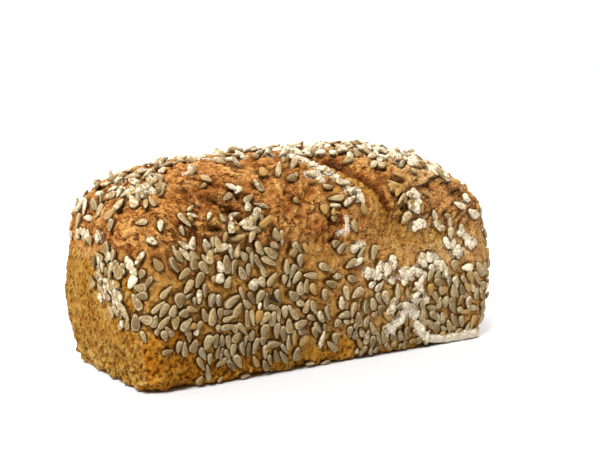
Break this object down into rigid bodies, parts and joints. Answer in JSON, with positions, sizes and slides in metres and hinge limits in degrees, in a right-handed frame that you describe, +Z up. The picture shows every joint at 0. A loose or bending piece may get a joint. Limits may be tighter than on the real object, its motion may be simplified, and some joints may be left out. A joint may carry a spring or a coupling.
{
  "type": "spelt loaf",
  "caption": "Whole tin-baked spelt loaf with a domed, fissured brown crust, sides rolled in hulled sunflower kernels, dusted with flour.",
  "frame": {"origin": "middle of the loaf's flat base, on the surface that it stands on", "axes": "+X along the loaf, +Y across it with the torn side of the dome at -Y, +Z up"},
  "size_m": [0.2724, 0.1182, 0.132],
  "materials": {
    "crust": "dry baked crust, matte, golden at the ends and red-brown on the dome",
    "kernels": "hulled sunflower kernels, pale grey-beige, satin, a few toasted",
    "flour": "caked wheat flour, off-white, fully matte"
  },
  "bodies": {
    "root": {"loaf": "crust"}
  },
  "joints": []
}
